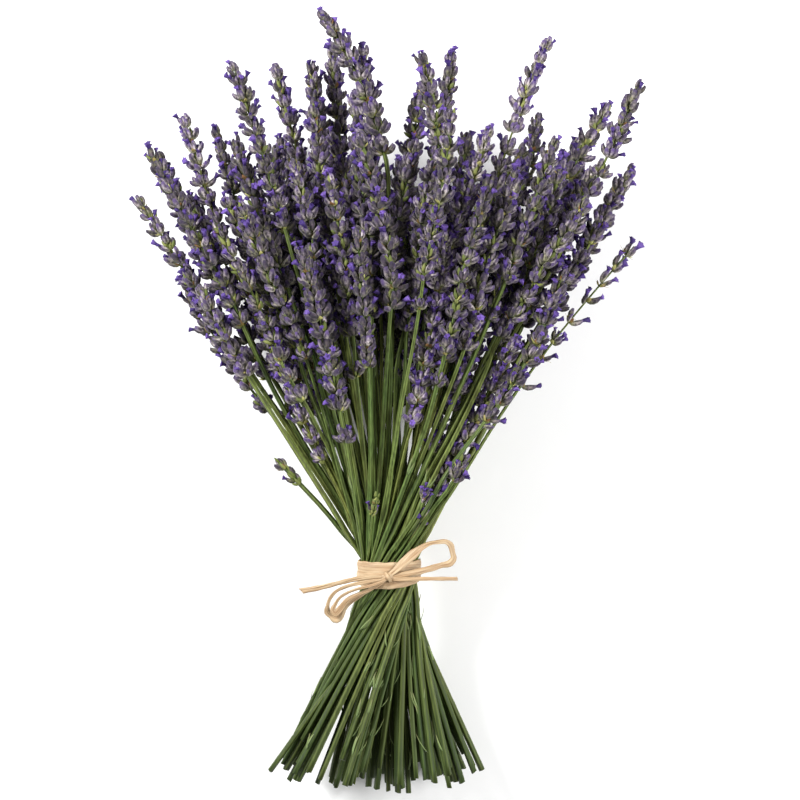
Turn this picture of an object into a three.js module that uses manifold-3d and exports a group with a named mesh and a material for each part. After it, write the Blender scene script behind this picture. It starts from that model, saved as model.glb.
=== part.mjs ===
// A hand-tied bunch of dried lavender, lying on a flat surface.
//
// Millimetres. +Y runs from the cut ends to the flower spikes, +Z is up, and the surface is z = 0.
// The stems cross at the tie in a spiral, as in any hand-tied bunch: each stem leans round the
// bundle's axis, so the cut ends and the spikes fan out on either side of the tie and no two
// stems meet. A strip of raffia goes twice round the waist and ends in a knot and a bow.

import * as THREE from 'three';
import { mergeVertices } from 'three/addons/utils/BufferGeometryUtils.js';
import Module from 'manifold-3d';

const wasm = await Module();
wasm.setup();

// ---- Driving dimensions -------------------------------------------------------------------

const WAIST_Y = 3; // where the bundle is narrowest, under the tie
const WAIST_HEIGHT = 37; // height of the bundle's axis at the tie
const WAIST_RADIUS = 13.3; // outermost stem centre from the axis, across the bundle
const WAIST_SQUASH = 0.84; // the bundle's depth over its width, at the tie
const HEAD_SQUASH = 0.47; // the same among the spikes, where the bunch lies flattened
const BASE_SQUASH = 0.5; // the same at the cut ends
const SPLAY_UP = 0.048; // sideways lean of an outer stem above the tie, per mm, over its radius
const SPLAY_DOWN = 0.0372; // the same below the tie
const SWEEP_DOWN = 0.04; // sideways drift of the axis below the tie, to the left, per mm
const AXIS_RISE = 0.115; // the axis climbs towards the spikes, which are the thicker end

const STEM_RADIUS = 1.3;
const SPIKE_RADIUS = 6.2;
const SPIKE_LENGTH = 94;
const CUT_LENGTH = 115; // from the tie to the cut end, along the stem
const CUT_SPREAD = 7; // how unevenly the stems were cut
const SPRIG_COUNT = 54;

const STATION_STEP = 8; // spacing of the cross-sections in which the stems settle
const FIRST_STATION = -117;
const STATION_COUNT = 52;
const SETTLE_ROUNDS = 560;
const CLEARANCE = 0.41; // room kept between neighbours while they settle
const ROOM = 1.02; // the same in proportion to their radii
const MOST_SLANT = 1.45; // limit on the extra room a slanting sprig asks for

const SLACK = 0.07; // the solids are this much slimmer than the room they settled in

const RAFFIA_THICKNESS = 0.8;
const BAND_GAP = 0.7; // from the stems' own outline to the inside of the band

// Sprigs that make the bunch's outline, each placed by hand:
// [tip x, tip y, spike base x, spike base y, level], level from -1 (underside) to 1 (top).
const OUTLINE_SPRIGS = [
  [-33, 287, 6, 212, 0.25], // the tallest nods to the left
  [-29, 272, -19, 188, -0.35],
  [-78, 261, -51, 176, 0.45],
  [-58, 262, -38, 184, -0.3],
  [-104, 236, -74, 158, 0.1],
  [-90, 233, -64, 160, -0.55],
  [-117, 217, -84, 143, -0.2],
  [-128, 196, -84, 128, 0.25],
  [-106, 163, -82, 116, -0.5],
  [-97, 150, -74, 104, 0.45],
  [17, 264, 30, 186, 0.45],
  [80, 274, 50, 196, 0.15],
  [77, 240, 60, 166, -0.4],
  [83, 222, 58, 148, 0.6],
  [125, 250, 84, 160, 0.4],
  [97, 217, 74, 144, -0.5],
  [118, 204, 84, 136, -0.15],
  [126, 173, 62, 99, 0.2], // a loose spike that sprawls out of the right side
];

// Short sprigs caught among the stems below the spikes, in the same form.
const SHORT_SPRIGS = [
  [78, 129, 60, 101, -0.3],
  [39, 64, 33, 50, 0.9],
  [-4, 46, -7, 32, 0.95],
  [24, 48, 21, 38, 0.98],
  [-54, 63, -36, 52, 0.1],
];

// ---- The bundle's shape -------------------------------------------------------------------

const clamp = THREE.MathUtils.clamp;
const smoothstep = THREE.MathUtils.smoothstep;
const lerp = THREE.MathUtils.lerp;
const fraction = (value) => value - Math.floor(value);

// How far round and out an outer stem has leaned at height y, in waist radii.
function leanAt(y) {
  const t = y - WAIST_Y;
  return t > 0 ? SPLAY_UP * t : SPLAY_DOWN * t;
}

// Depth over width of the bundle at height y.
function squashAt(y) {
  if (y > WAIST_Y) return lerp(WAIST_SQUASH, HEAD_SQUASH, smoothstep(y, WAIST_Y, 150));
  return lerp(WAIST_SQUASH, BASE_SQUASH, smoothstep(-y, -WAIST_Y, 100));
}

const axisHeight = (y) => WAIST_HEIGHT + AXIS_RISE * (y - WAIST_Y);
const axisSide = (y) => SWEEP_DOWN * Math.min(0, y - WAIST_Y);
const halfDepthAt = (y) => WAIST_RADIUS * Math.hypot(1, leanAt(y)) * squashAt(y);

// Where a stem that crosses the tie at (u, v) from the axis lies at height y.
// Every section is a turned and stretched copy of the waist, so stems never cross.
function spiral(u, v, y) {
  const lean = leanAt(y);
  return { x: axisSide(y) + u + lean * v, z: axisHeight(y) + squashAt(y) * (v - lean * u) };
}

// The crossing point (u, v) of the stem that passes through (x, z) at height y above the tie.
function crossing(x, z, y) {
  const lean = leanAt(y);
  const depth = (z - axisHeight(y)) / squashAt(y);
  const size = 1 + lean * lean;
  return { u: (x - lean * depth) / size, v: (lean * x + depth) / size };
}

// ---- The sprigs ---------------------------------------------------------------------------

// Where the rest of the sprigs end, spread evenly over the fan by three additive sequences.
function fillSprig(index) {
  const across = 2 * fraction(0.31 + index * 0.8191725) - 1;
  const drop = fraction(0.12 + index * 0.6710436);
  const level = 2 * fraction(0.57 + index * 0.5497005) - 1;
  const angle = THREE.MathUtils.degToRad(29) * across;
  const reach = lerp(272, 236, across * across) - 98 * drop;
  const length = SPIKE_LENGTH * lerp(0.86, 1.04, fraction(index * 0.7548777));
  const tipX = reach * Math.sin(angle);
  const tipY = reach * Math.cos(angle);
  const scale = (reach - length) / reach;
  return [tipX, tipY, tipX * scale, tipY * scale, 0.9 * level];
}

function layOut([tipX, tipY, baseX, baseY, level], index) {
  const base = { x: baseX, y: baseY, z: axisHeight(baseY) + level * halfDepthAt(baseY) * 0.85 };
  const tipDepth = halfDepthAt(Math.min(tipY, 225));
  const tip = { x: tipX, y: tipY, z: axisHeight(tipY) + level * tipDepth * 0.85 };
  let { u, v } = crossing(base.x, base.z, base.y);
  const out = Math.hypot(u, v) / WAIST_RADIUS;
  if (out > 1) {
    u /= out;
    v /= out;
  }
  const spike = Math.hypot(tipX - baseX, tipY - baseY);
  const thick = SPIKE_RADIUS * clamp(spike / 70, 0.62, 1) * lerp(0.92, 1.04, fraction(index * 0.6180339));
  const end = spiral(u, v, WAIST_Y - CUT_LENGTH);
  const lean = Math.hypot(end.x, end.z - axisHeight(WAIST_Y - CUT_LENGTH)) / CUT_LENGTH;
  const cut = CUT_LENGTH - CUT_SPREAD * fraction(0.4 + index * 0.7320508) - (index % 7 === 3 ? 12 : 0);
  return { u, v, base, tip, thick, cutY: WAIST_Y - cut / Math.hypot(1, lean) };
}

// The line that a sprig would follow with the bundle's spiral alone: up its stem to the spike's
// base, then on along a parabola to the tip.
function guide(sprig, y) {
  const { u, v, base, tip } = sprig;
  const along = clamp((y - WAIST_Y) / (base.y - WAIST_Y), 0, 1);
  const atBase = spiral(u, v, base.y);
  const stem = spiral(u, v, Math.min(y, base.y));
  const swing = along ** 1.6;
  const x = stem.x + (base.x - atBase.x) * swing;
  const z = stem.z + (base.z - atBase.z) * swing;
  if (y <= base.y) return { x, z };
  const before = guide(sprig, base.y - 8);
  const rise = y - base.y;
  const whole = tip.y - base.y;
  const slopeX = (base.x - before.x) / 8;
  const slopeZ = (base.z - before.z) / 8;
  const bendX = (tip.x - base.x - slopeX * whole) / whole ** 2;
  const bendZ = (tip.z - base.z - slopeZ * whole) / whole ** 2;
  return { x: x + slopeX * rise + bendX * rise ** 2, z: z + slopeZ * rise + bendZ * rise ** 2 };
}

// Radius over the spike's own, from its base (0) to its tip (1).
const SPIKE_PROFILE = [
  [0, 0.2],
  [0.05, 0.66],
  [0.16, 0.96],
  [0.38, 1],
  [0.62, 0.93],
  [0.82, 0.74],
  [0.95, 0.42],
  [1, 0],
];

function radiusAt(sprig, y) {
  if (y < sprig.base.y - 2) return STEM_RADIUS;
  const s = clamp((y - sprig.base.y) / (sprig.tip.y - sprig.base.y), 0, 1);
  const next = Math.max(1, SPIKE_PROFILE.findIndex(([place]) => place >= s));
  const [s0, r0] = SPIKE_PROFILE[next - 1];
  const [s1, r1] = SPIKE_PROFILE[next];
  return Math.max(STEM_RADIUS, sprig.thick * lerp(r0, r1, (s - s0) / (s1 - s0)));
}

const rows = [...OUTLINE_SPRIGS, ...SHORT_SPRIGS];
while (rows.length < SPRIG_COUNT) rows.push(fillSprig(rows.length));
const sprigs = rows.map(layOut);

// ---- Settling -----------------------------------------------------------------------------

// The sprigs are laid into place in cross-sections: in each one they push each other apart
// until they clear, stay above the surface and inside the tie, and bend no more than they must.
const stations = Array.from({ length: STATION_COUNT }, (_, k) => FIRST_STATION + k * STATION_STEP);

// How much longer a slanting stem's cross-section is than the stem is thick.
function steepness(sprig, k) {
  const j = clamp(k, 1, STATION_COUNT - 2);
  const slopeX = (sprig.x[j + 1] - sprig.x[j - 1]) / (2 * STATION_STEP);
  const slopeZ = (sprig.z[j + 1] - sprig.z[j - 1]) / (2 * STATION_STEP);
  return Math.min(MOST_SLANT, Math.hypot(1, slopeX, slopeZ));
}

for (const sprig of sprigs) {
  sprig.last = stations.findIndex((y) => y >= sprig.tip.y);
  if (sprig.last < 0) sprig.last = STATION_COUNT - 1;
  sprig.x = stations.map((y) => guide(sprig, Math.min(y, sprig.tip.y + STATION_STEP)).x);
  sprig.z = stations.map((y) => guide(sprig, Math.min(y, sprig.tip.y + STATION_STEP)).z);
  sprig.homeX = [...sprig.x];
  sprig.homeZ = [...sprig.z];
  sprig.r = stations.map((y) => Math.max(...[-5, 0, 5].map((step) => radiusAt(sprig, y + step))));
  sprig.steep = stations.map((y, k) => steepness(sprig, k));
}

function pushApart(a, b, k) {
  const dx = b.x[k] - a.x[k];
  const dz = b.z[k] - a.z[k];
  const away = Math.hypot(dx, dz) || 1e-6;
  const need = ROOM * (a.r[k] + b.r[k]) * Math.max(a.steep[k], b.steep[k]) + CLEARANCE;
  if (away >= need) return;
  const push = (0.5 * (need - away)) / away;
  a.x[k] -= push * dx;
  a.z[k] -= push * dz;
  b.x[k] += push * dx;
  b.z[k] += push * dz;
}

function straighten(sprig, reach, amount) {
  const { x, z, last } = sprig;
  for (let k = reach; k <= last - reach; k += 1) {
    x[k] += amount * ((x[k - reach] + x[k + reach]) / 2 - x[k]);
    z[k] += amount * ((z[k - reach] + z[k + reach]) / 2 - z[k]);
  }
}

function holdInTie(sprig, k) {
  const u = sprig.x[k] / WAIST_RADIUS;
  const v = (sprig.z[k] - axisHeight(stations[k])) / (WAIST_RADIUS * WAIST_SQUASH);
  const out = Math.hypot(u, v);
  if (out <= 1) return;
  sprig.x[k] /= out;
  sprig.z[k] = axisHeight(stations[k]) + (sprig.z[k] - axisHeight(stations[k])) / out;
}

for (let round = 0; round < SETTLE_ROUNDS; round += 1) {
  const calm = 1 - round / SETTLE_ROUNDS;
  for (const sprig of sprigs) {
    straighten(sprig, 3, 0.12 * calm);
    straighten(sprig, 1, 0.3 * calm);
    for (let k = 0; k <= sprig.last; k += 1) {
      sprig.x[k] += 0.03 * calm * (sprig.homeX[k] - sprig.x[k]);
      sprig.z[k] += 0.03 * calm * (sprig.homeZ[k] - sprig.z[k]);
    }
  }
  for (let k = 0; k < STATION_COUNT; k += 1) {
    const here = sprigs.filter((sprig) => k <= sprig.last);
    here.forEach((a, i) => here.slice(i + 1).forEach((b) => pushApart(a, b, k)));
    for (const sprig of here) {
      if (Math.abs(stations[k] - WAIST_Y) < 11) holdInTie(sprig, k);
      sprig.z[k] = Math.max(sprig.z[k], sprig.r[k] * sprig.steep[k] + 0.15);
    }
  }
}

// ---- Solids -------------------------------------------------------------------------------

const RING_SIDES = 6;
const STEM_RING_HEIGHTS = [-85, -53, -29, -13, -5, 3, 11, 19, 35, 51, 75, 99, 123, 147, 171];
const RING_MARGIN = 8; // no stem ring comes nearer than this to the cut end or the spike's base

function centreline(sprig) {
  const reached = stations.slice(0, sprig.last + 1);
  const points = reached.map((y, k) => new THREE.Vector3(sprig.x[k], y, sprig.z[k]));
  return new THREE.CatmullRomCurve3(points);
}

// The point of a rising curve at height y, with the direction of the curve there.
function atHeight(curve, y) {
  let low = 0;
  let high = 1;
  for (let step = 0; step < 24; step += 1) {
    const middle = (low + high) / 2;
    if (curve.getPoint(middle).y < y) low = middle;
    else high = middle;
  }
  return { point: curve.getPoint(low), tangent: curve.getTangent(low) };
}

// A solid of revolution about +Y, carried onto a rising curve: a point at height y and distance
// r from the axis goes to the curve's point at that height, r out along the curve's normal plane.
function carryAlong(geometry, curve) {
  const position = geometry.getAttribute('position');
  const local = new THREE.Vector3();
  const turn = new THREE.Quaternion();
  for (let i = 0; i < position.count; i += 1) {
    local.fromBufferAttribute(position, i);
    const { point, tangent } = atHeight(curve, local.y);
    turn.setFromUnitVectors(new THREE.Vector3(0, 1, 0), tangent);
    local.setY(0).applyQuaternion(turn).add(point);
    position.setXYZ(i, local.x, local.y, local.z);
  }
  return geometry;
}

// The same surface with its doubled vertices merged and its empty triangles dropped.
function weld(geometry) {
  geometry.deleteAttribute('normal');
  geometry.deleteAttribute('uv');
  const welded = mergeVertices(geometry, 1e-4);
  const corners = welded.getIndex().array;
  const kept = [];
  for (let i = 0; i < corners.length; i += 3) {
    const [a, b, c] = corners.slice(i, i + 3);
    if (a !== b && b !== c && c !== a) kept.push(a, b, c);
  }
  welded.setIndex(kept);
  return welded;
}

function sprigGeometry(sprig) {
  const { base, tip, thick, cutY } = sprig;
  const stem = STEM_RADIUS - SLACK;
  const profile = [new THREE.Vector2(0, cutY), new THREE.Vector2(stem, cutY)];
  for (const y of STEM_RING_HEIGHTS) {
    const clearOfEnds = y > cutY + RING_MARGIN && y < base.y - RING_MARGIN;
    if (clearOfEnds) profile.push(new THREE.Vector2(stem, y));
  }
  for (const [s, r] of SPIKE_PROFILE) {
    const radius = s === 1 ? 0 : Math.max(stem, thick * r - SLACK);
    profile.push(new THREE.Vector2(radius, lerp(base.y, tip.y, s)));
  }
  const lathe = new THREE.LatheGeometry(profile, RING_SIDES);
  return weld(carryAlong(lathe, centreline(sprig)));
}

function toManifold(geometry) {
  const welded = weld(geometry);
  return new wasm.Manifold(new wasm.Mesh({
    numProp: 3,
    vertProperties: new Float32Array(welded.getAttribute('position').array),
    triVerts: new Uint32Array(welded.getIndex().array),
  }));
}

function fromManifold(solid) {
  const { vertProperties, triVerts } = solid.getMesh();
  const geometry = new THREE.BufferGeometry();
  geometry.setAttribute('position', new THREE.BufferAttribute(new Float32Array(vertProperties), 3));
  geometry.setIndex(new THREE.BufferAttribute(new Uint32Array(triVerts), 1));
  return geometry;
}

// ---- The raffia ---------------------------------------------------------------------------

const BAND_INNER_X = WAIST_RADIUS + STEM_RADIUS * 1.2 + BAND_GAP;
const BAND_INNER_Z = WAIST_RADIUS * WAIST_SQUASH + STEM_RADIUS * 1.2 + BAND_GAP;
const BAND_TOP = WAIST_HEIGHT + BAND_INNER_Z + RAFFIA_THICKNESS;

// One turn of the strip: an elliptical ring of the given width about the bundle's axis, tipped
// so that its top leans towards the cut ends.
function wrap({ y, width, tip, grow }) {
  const shape = new THREE.Shape();
  const thickness = RAFFIA_THICKNESS + grow;
  shape.absellipse(0, 0, BAND_INNER_X + thickness, BAND_INNER_Z + thickness, 0, 2 * Math.PI);
  const hole = new THREE.Path();
  hole.absellipse(0, 0, BAND_INNER_X, BAND_INNER_Z, 0, 2 * Math.PI);
  shape.holes.push(hole);
  const ring = new THREE.ExtrudeGeometry(shape, { depth: width, bevelEnabled: false, curveSegments: 30 });
  ring.translate(0, 0, -width / 2);
  ring.rotateX(Math.PI / 2 + tip);
  ring.translate(0, y, WAIST_HEIGHT);
  return toManifold(ring);
}

function knot() {
  const lump = new THREE.SphereGeometry(1, 14, 8);
  lump.scale(4.6, 2.9, 2.0);
  lump.translate(-1, 2.4, BAND_TOP + 0.8);
  return toManifold(lump);
}

function bandGeometry() {
  const upper = wrap({ y: 6.4, width: 8.4, tip: 0, grow: 0 });
  const lower = wrap({ y: 1.6, width: 5.4, tip: 0.16, grow: 0.35 });
  return fromManifold(upper.add(lower).add(knot()));
}

// The free strips of the bow, each a list of points its middle passes through, from the knot
// outwards; z is measured from the top of the band.
const BOW_STRIPS = {
  raffia_loop_right: {
    width: 3.2,
    route: [
      [4.4, 6.6, 1.3], [8.4, 10.4, 2.0], [12.8, 14.3, 2.2], [16.8, 17.4, 2.0], [20.4, 19.2, 1.4],
      [25.2, 20.0, 0.3], [29.2, 20.0, -1.0], [31.2, 18.6, -1.8], [32.4, 14.6, -2.8], [32.9, 11.2, -3.2],
      [31.4, 9.2, -3.2], [27.0, 8.0, -2.8], [20.5, 6.2, -1.2], [13.5, 4.6, 0.6], [9.0, 3.7, 1.0],
      [5.2, 3.0, 0.9],
    ],
  },
  raffia_tail_right: {
    width: 2.2,
    route: [
      [5.0, 0.9, 0.9], [11.0, 1.0, 0.9], [17.0, 1.2, 0.2], [23.0, 1.2, -1.0], [29.0, 1.1, -2.6],
      [35.0, 1.0, -4.6],
    ],
  },
  raffia_tail_left: {
    width: 2.8,
    route: [
      [-6.6, 2.6, 0.8], [-14.0, 1.6, 0.8], [-21.0, 0.2, 0.0], [-28.0, -1.6, -1.4], [-36.0, -3.6, -3.4],
      [-45.0, -5.4, -6.0],
    ],
  },
  raffia_loop_left: {
    width: 2.4,
    route: [
      [-6.4, 0.3, 1.5], [-12.0, -0.4, 1.7], [-18.0, -1.6, 1.2], [-23.0, -3.2, -0.2], [-27.4, -5.6, -2.0],
      [-30.4, -9.4, -3.8], [-31.5, -13.2, -5.1], [-31.5, -16.2, -6.1], [-29.6, -18.0, -6.5],
      [-27.2, -19.6, -6.9], [-25.7, -18.6, -6.8], [-22.8, -13.8, -5.2], [-16.4, -8.6, -2.4],
      [-10.0, -4.4, 0.2], [-5.0, -1.2, 0.6],
    ],
  },
  raffia_loop_inner: {
    width: 1.6,
    route: [
      [-5.6, -0.8, 3.1], [-10.4, -2.4, 3.2], [-16.0, -3.8, 2.4], [-21.4, -6.0, 0.6], [-25.4, -8.8, -1.6],
      [-27.6, -12.2, -3.4], [-28.8, -15.2, -4.0], [-27.6, -16.8, -4.2], [-25.6, -15.0, -3.8],
      [-21.6, -9.8, -1.6], [-14.6, -6.0, 0.8], [-8.6, -3.6, 2.0],
    ],
  },
};

// A plain eight-sided tube along a strip's route.
function stripGeometry({ width, route }) {
  const points = route.map(([x, y, z]) => new THREE.Vector3(x, y, BAND_TOP + z));
  const section = new THREE.Shape();
  const radius = 0.3 * width;
  section.absarc(0, 0, radius, 0, 2 * Math.PI);
  return weld(new THREE.ExtrudeGeometry(section, {
    steps: 2 * (route.length - 1),
    curveSegments: 4,
    bevelEnabled: false,
    extrudePath: new THREE.CatmullRomCurve3(points),
  }));
}

// ---- The scene graph ----------------------------------------------------------------------

const bunch = new THREE.Group();

function addPiece(name, geometry, colour, roughness) {
  const material = new THREE.MeshStandardMaterial({ color: colour, roughness, metalness: 0 });
  const mesh = new THREE.Mesh(geometry, material);
  mesh.name = name;
  bunch.add(mesh);
}

sprigs.forEach((sprig, index) => {
  addPiece(`sprig_${String(index + 1).padStart(2, '0')}`, sprigGeometry(sprig), 0x6a7350, 0.85);
});
addPiece('raffia_band', bandGeometry(), 0xe3c79e, 0.7);
for (const [name, strip] of Object.entries(BOW_STRIPS)) {
  addPiece(name, stripGeometry(strip), 0xe3c79e, 0.7);
}

// The origin goes to the middle of the bunch's box, on the surface.
const box = new THREE.Box3().setFromObject(bunch);
const middle = box.getCenter(new THREE.Vector3());
bunch.position.set(-middle.x, -middle.y, -box.min.z);
bunch.updateMatrixWorld(true);

export default bunch;
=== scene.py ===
"""A hand-tied bunch of dried lavender lying on a pale surface.

Shapes are worked out in millimetres and become metres when a mesh is made. +Y runs from the cut
ends to the flower spikes and +Z is up. Each sprig that the frame holds gives the middle line that
its stem, whorls, flowers and bracts are carried along. More sprigs fill the gaps between those.
"""
import math
from collections import namedtuple

import bpy
import numpy as np
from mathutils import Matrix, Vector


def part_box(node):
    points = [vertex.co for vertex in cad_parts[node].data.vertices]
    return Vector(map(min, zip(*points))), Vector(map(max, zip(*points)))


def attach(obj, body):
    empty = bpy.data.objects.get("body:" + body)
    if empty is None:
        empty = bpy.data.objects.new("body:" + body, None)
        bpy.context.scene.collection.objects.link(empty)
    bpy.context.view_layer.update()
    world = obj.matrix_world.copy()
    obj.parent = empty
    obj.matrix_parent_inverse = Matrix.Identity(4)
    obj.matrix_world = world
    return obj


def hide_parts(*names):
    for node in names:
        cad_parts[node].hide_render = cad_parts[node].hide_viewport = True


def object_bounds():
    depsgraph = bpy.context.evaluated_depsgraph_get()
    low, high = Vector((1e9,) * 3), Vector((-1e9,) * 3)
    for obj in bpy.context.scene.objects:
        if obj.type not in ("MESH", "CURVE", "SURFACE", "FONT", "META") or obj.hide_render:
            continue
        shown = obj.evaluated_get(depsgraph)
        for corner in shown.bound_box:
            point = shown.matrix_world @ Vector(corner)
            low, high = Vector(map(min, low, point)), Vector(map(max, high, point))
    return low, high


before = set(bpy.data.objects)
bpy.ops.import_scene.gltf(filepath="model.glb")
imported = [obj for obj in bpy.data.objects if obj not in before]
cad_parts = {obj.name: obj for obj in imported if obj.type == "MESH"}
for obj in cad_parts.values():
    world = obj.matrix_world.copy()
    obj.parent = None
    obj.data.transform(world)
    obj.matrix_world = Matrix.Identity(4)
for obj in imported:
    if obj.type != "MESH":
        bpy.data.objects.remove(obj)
cad_low, cad_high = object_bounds()

MM = 0.001
STEM_RADIUS = 1.36
SPIKE_REACH = 6.6          # room that a spike's whorls keep from the next spike
CALYX_SCALE = 1.13
SPRIG_NODES = sorted(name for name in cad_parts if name.startswith("sprig_"))
LOOSE_SPRIG = "sprig_18"   # the one that sprawls out of the right side
FILL_SPRIGS = 42
FILL_PAINTED_SHADE = 0.6            # painted shade: a lower tint darkens the sprigs laid between the frame's own, which lie deeper in the bunch
UP = np.array([0.0, 0.0, 1.0])

SmallShape = namedtuple("SmallShape", "points faces along ridge")


# ---- Meshes ---------------------------------------------------------------------------------

def tube_faces(rows, around):
    """Faces of a closed tube whose points are numbered ring by ring, then its start and end pole.
    Neighbouring rings are joined by quads, and each end ring to its pole by a fan of triangles,
    whose fourth corner is -1."""
    row, column = np.meshgrid(np.arange(rows - 1), np.arange(around), indexing="ij")
    here = row * around + column
    beside = row * around + (column + 1) % around
    sides = np.stack([here, beside, beside + around, here + around], -1).reshape(-1, 4)
    turn = np.arange(around)
    following = (turn + 1) % around
    none = np.full(around, -1)
    start = np.stack([np.full(around, rows * around), following, turn, none], -1)
    last = (rows - 1) * around
    end = np.stack([np.full(around, rows * around + 1), last + turn, last + following, none], -1)
    return np.concatenate([sides, start, end])


def ring_faces(rows, around):
    """Quads of a tube that closes on itself, whose points are numbered section by section."""
    row, column = np.meshgrid(np.arange(rows), np.arange(around), indexing="ij")
    after = (row + 1) % rows
    beside = (column + 1) % around
    corners = [row * around + column, row * around + beside, after * around + beside, after * around + column]
    return np.stack(corners, -1).reshape(-1, 4)


class Part:
    """Points, faces and marks of one piece, gathered from many small shapes."""

    def __init__(self):
        self.points, self.faces, self.finish, self.marks = [], [], [], []
        self.count = 0

    def add(self, points, faces, finish, along, ridge, tint):
        """points is (copies, points of one copy, 3); the marks are numbers that spread over it."""
        copies, size = points.shape[:2]
        offset = self.count + size * np.arange(copies)[:, None, None]
        self.faces.append(np.where(faces[None] < 0, -1, faces[None] + offset).reshape(-1, 4))
        self.finish.append(np.full(copies * len(faces), finish))
        marks = np.stack(np.broadcast_arrays(along, ridge, tint, points[..., 0])[:3], -1)
        self.marks.append(marks.reshape(-1, 3))
        self.points.append(points.reshape(-1, 3))
        self.count += copies * size

    def scatter(self, shape, finish, tint, **places):
        """Adds copies of a small shape, aimed as places says, each with its own tint."""
        self.add(aim(shape, **places), shape.faces, finish, shape.along, shape.ridge, tint[:, None])

    def make(self, name, materials):
        """A mesh object of everything that was added, with its marks as attributes."""
        points = settle_on_surface(np.concatenate(self.points))
        faces = np.concatenate(self.faces)
        used = faces >= 0
        sizes = used.sum(1)
        mesh = bpy.data.meshes.new(name)
        mesh.vertices.add(len(points))
        mesh.vertices.foreach_set("co", (points * MM).astype(np.float32).ravel())
        mesh.loops.add(int(sizes.sum()))
        mesh.loops.foreach_set("vertex_index", faces[used].astype(np.int32))
        mesh.polygons.add(len(faces))
        mesh.polygons.foreach_set("loop_start", np.concatenate([[0], np.cumsum(sizes)[:-1]]).astype(np.int32))
        mesh.polygons.foreach_set("material_index", np.concatenate(self.finish).astype(np.int32))
        mesh.polygons.foreach_set("use_smooth", np.ones(len(faces), bool))
        mesh.update(calc_edges=True)
        for column, mark in enumerate(("along", "ridge", "tint")):
            attribute = mesh.attributes.new(mark, "FLOAT", "POINT")
            attribute.data.foreach_set("value", np.concatenate(self.marks)[:, column].astype(np.float32))
        for material in materials:
            mesh.materials.append(material)
        piece = bpy.data.objects.new(name, mesh)
        bpy.context.scene.collection.objects.link(piece)
        return piece


def settle_on_surface(points):
    """What would reach below the surface is pressed flat on it: a height z becomes
    k log(1 + exp(z / k)), which is z well above the surface and never below 0."""
    firmness = 0.45
    settled = points.copy()
    settled[:, 2] = firmness * np.logaddexp(0, (points[:, 2] - 0.1) / firmness)
    return settled


# ---- Middle lines ---------------------------------------------------------------------------

def cad_corners(node):
    """The different corners of a node of the frame, in mm, from the cut end up."""
    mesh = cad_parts[node].data
    co = np.empty(len(mesh.vertices) * 3, np.float32)
    mesh.vertices.foreach_get("co", co)
    corners = np.unique(np.round(co.reshape(-1, 3).astype(float) / MM, 3), axis=0)
    return corners[np.argsort(corners[:, 1], kind="stable")]


def through(places, values, at):
    """Values at new places of the smooth line through some: between two places it is the cubic that
    has, at each, the slope of the parabola through that one and its neighbours."""
    slope = np.gradient(values, places, axis=0)
    below = np.clip(np.searchsorted(places, at) - 1, 0, len(places) - 2)
    gap = (places[below + 1] - places[below])[:, None]
    t = (at - places[below])[:, None] / gap
    start = (2 * t**3 - 3 * t**2 + 1) * values[below] + (t**3 - 2 * t**2 + t) * gap * slope[below]
    end = (3 * t**2 - 2 * t**3) * values[below + 1] + (t**3 - t**2) * gap * slope[below + 1]
    return start + end


def follow(knots, y):
    """x and z at heights y of the line through the knots."""
    return through(knots[:, 1], knots[:, [0, 2]], y)


def cad_sprig(node):
    """The middle line of a sprig of the frame. Its corners lie in rings, and a ring's mean is on
    the line. The first wide ring is a twentieth of the way up the spike, which gives its base."""
    corners = cad_corners(node)
    rings = np.split(corners, np.flatnonzero(np.diff(corners[:, 1]) > 3.6) + 1)
    knots = np.array([ring.mean(0) for ring in rings])
    tip = corners[-1]
    if tip[1] - knots[-1, 1] > 0.5:
        knots = np.vstack([knots, tip])
    out = np.linalg.norm(corners[:, [0, 2]] - follow(knots, corners[:, 1]), axis=1)
    wide = corners[out > 1.9][:6, 1].mean()
    base = (wide - 0.05 * tip[1]) / 0.95
    return {"knots": knots, "cut": knots[0, 1], "base": base, "tip": tip[1], "node": node}


def fill_sprigs(sprigs, count, rng):
    """More sprigs, each between two that the frame holds: every point of its line is a mix of theirs
    at the same height, so it spirals through the tie as they do, and its spike then swings to one
    side. Each goes where it is furthest from those already there among the spikes, and sideways
    counts for more than up and down."""
    heights = np.linspace(10, 110, 5)       # from the spikes' lowest whorls to their middle
    weigh = np.array([1.0, 0.62])           # sideways, and up and down
    neighbours_within = 60
    highest_tip, lowest_tip, lowest_base = 180, 68, -14
    kept = [s for s in sprigs if s["tip"] > 60 and s["node"] != LOOSE_SPRIG]
    lines = np.array([extend(s, heights) for s in kept]) * weigh
    first, second = np.triu_indices(len(kept), 1)
    share = rng.uniform(0.3, 0.7, (len(first), 1, 1))
    middle = share * lines[first] + (1 - share) * lines[second]
    near = np.linalg.norm(lines[first] - lines[second], axis=-1).mean(-1) < neighbours_within
    taken = np.array([extend(s, heights) for s in sprigs]) * weigh
    made = []
    for _ in range(count):
        free = np.linalg.norm(middle[:, None] - taken[None], axis=-1).mean(-1).min(1) * near
        pick = int(np.argmax(free))
        a, b, part = kept[first[pick]], kept[second[pick]], float(share[pick, 0, 0])
        taken = np.concatenate([taken, middle[pick:pick + 1]])
        top = part * a["tip"] + (1 - part) * b["tip"]
        tip = max(lowest_tip, min(top + rng.uniform(-26, 20), highest_tip))
        y = np.linspace(a["cut"], tip, 40)
        line = part * extend(a, y) + (1 - part) * extend(b, y)
        base = max(lowest_base, tip - rng.uniform(72, 96))
        line[:, 0] += rng.uniform(-10, 10) * np.clip((y - base) / 90, 0, 1) ** 1.5
        cut = min(a["cut"], b["cut"]) + rng.uniform(0, 9)
        knots = np.column_stack([line[:, 0], y, line[:, 1]])
        made.append({"knots": knots, "cut": cut, "base": base, "tip": tip, "node": None})
    return made


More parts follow.
